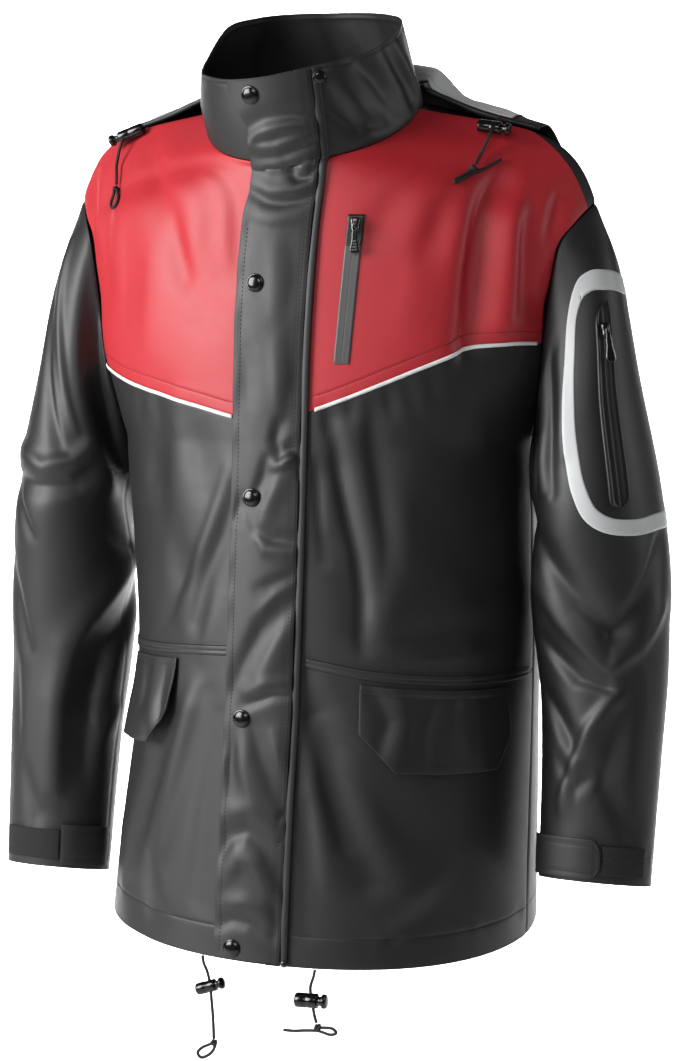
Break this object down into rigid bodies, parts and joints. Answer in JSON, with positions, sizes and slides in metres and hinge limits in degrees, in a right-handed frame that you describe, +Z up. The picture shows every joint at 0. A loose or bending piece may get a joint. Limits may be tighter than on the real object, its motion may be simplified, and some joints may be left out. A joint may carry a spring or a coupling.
{
  "type": "raincoat",
  "caption": "Hollow hip-length raincoat as worn: stand collar, storm flap over the front zip, two-colour yokes, pocket flaps, banded sleeve and a hood hanging behind.",
  "frame": {"origin": "middle of the neck, level with the points where the shoulder seams meet the collar", "axes": "+Z up along the wearer's spine, -Y the way the wearer faces, +X the wearer's left"},
  "size_m": [0.6902, 0.402, 0.9803],
  "materials": {
    "black_coated_cloth": "satin, smooth coating on knitted backing",
    "red_coated_cloth": "satin, smooth coating on knitted backing",
    "light_grey_cloth": "satin",
    "light_grey_band": "matt, reflective when lit",
    "white_piping": "matt",
    "black_zip_tape": "satin, welded tape",
    "black_gloss_plastic": "glossy",
    "black_lacquered_metal": "glossy lacquer",
    "black_hook_fabric": "matt hooks",
    "black_cord": "braided"
  },
  "bodies": {
    "coat": {"skirt_left": "black_coated_cloth", "skirt_right": "black_coated_cloth", "front_left": "black_coated_cloth", "front_right": "black_coated_cloth", "back": "black_coated_cloth", "sleeve_left": "black_coated_cloth", "sleeve_right": "black_coated_cloth", "collar": "black_coated_cloth", "storm_flap": "black_coated_cloth", "flap_binding": "black_coated_cloth", "waist_band_left": "black_coated_cloth", "waist_band_right": "black_coated_cloth", "pocket_flap_left": "black_coated_cloth", "pocket_flap_right": "black_coated_cloth", "cuff_tab_left": "black_coated_cloth", "cuff_tab_right": "black_coated_cloth", "hood": "black_coated_cloth", "hood_edge": "black_coated_cloth", "front_yoke_left": "red_coated_cloth", "front_yoke_right": "red_coated_cloth", "hood_panel": "light_grey_cloth", "sleeve_band": "light_grey_band", "piping_left": "white_piping", "piping_right": "white_piping", "front_zip": "black_zip_tape", "chest_zip": "black_zip_tape", "sleeve_zip": "black_zip_tape", "snap_collar": "black_gloss_plastic", "snap_chest": "black_gloss_plastic", "snap_belly": "black_gloss_plastic", "snap_waist": "black_gloss_plastic", "snap_hem": "black_gloss_plastic", "snap_rim": "black_gloss_plastic", "hem_right_lock": "black_gloss_plastic", "hem_left_lock": "black_gloss_plastic", "hood_right_lock": "black_gloss_plastic", "hood_left_lock": "black_gloss_plastic", "chest_zip_slider": "black_lacquered_metal", "sleeve_zip_slider": "black_lacquered_metal", "cuff_hook_left": "black_hook_fabric", "cuff_hook_right": "black_hook_fabric", "hem_right_cord": "black_cord", "hem_left_cord": "black_cord", "hood_right_cord": "black_cord", "hood_left_cord": "black_cord", "hem_right_knot": "black_cord", "hem_left_knot": "black_cord", "hood_right_knot": "black_cord", "hood_left_knot": "black_cord"},
    "chest_pull": {"chest_zip_pull": "black_lacquered_metal"},
    "sleeve_pull": {"sleeve_zip_pull": "black_lacquered_metal"}
  },
  "joints": [
    {"name": "chest_pull_hinge", "type": "hinge", "parent": "coat", "child": "chest_pull", "pos_m": [0.08211, -0.09891, -0.10281], "axis": [-0.9585, -0.285, 0], "range_deg": [0, 150]},
    {"name": "sleeve_pull_hinge", "type": "hinge", "parent": "coat", "child": "sleeve_pull", "pos_m": [0.29201, -0.00024, -0.19823], "axis": [-0.7256, -0.6873, -0.0331], "range_deg": [0, 150]}
  ]
}
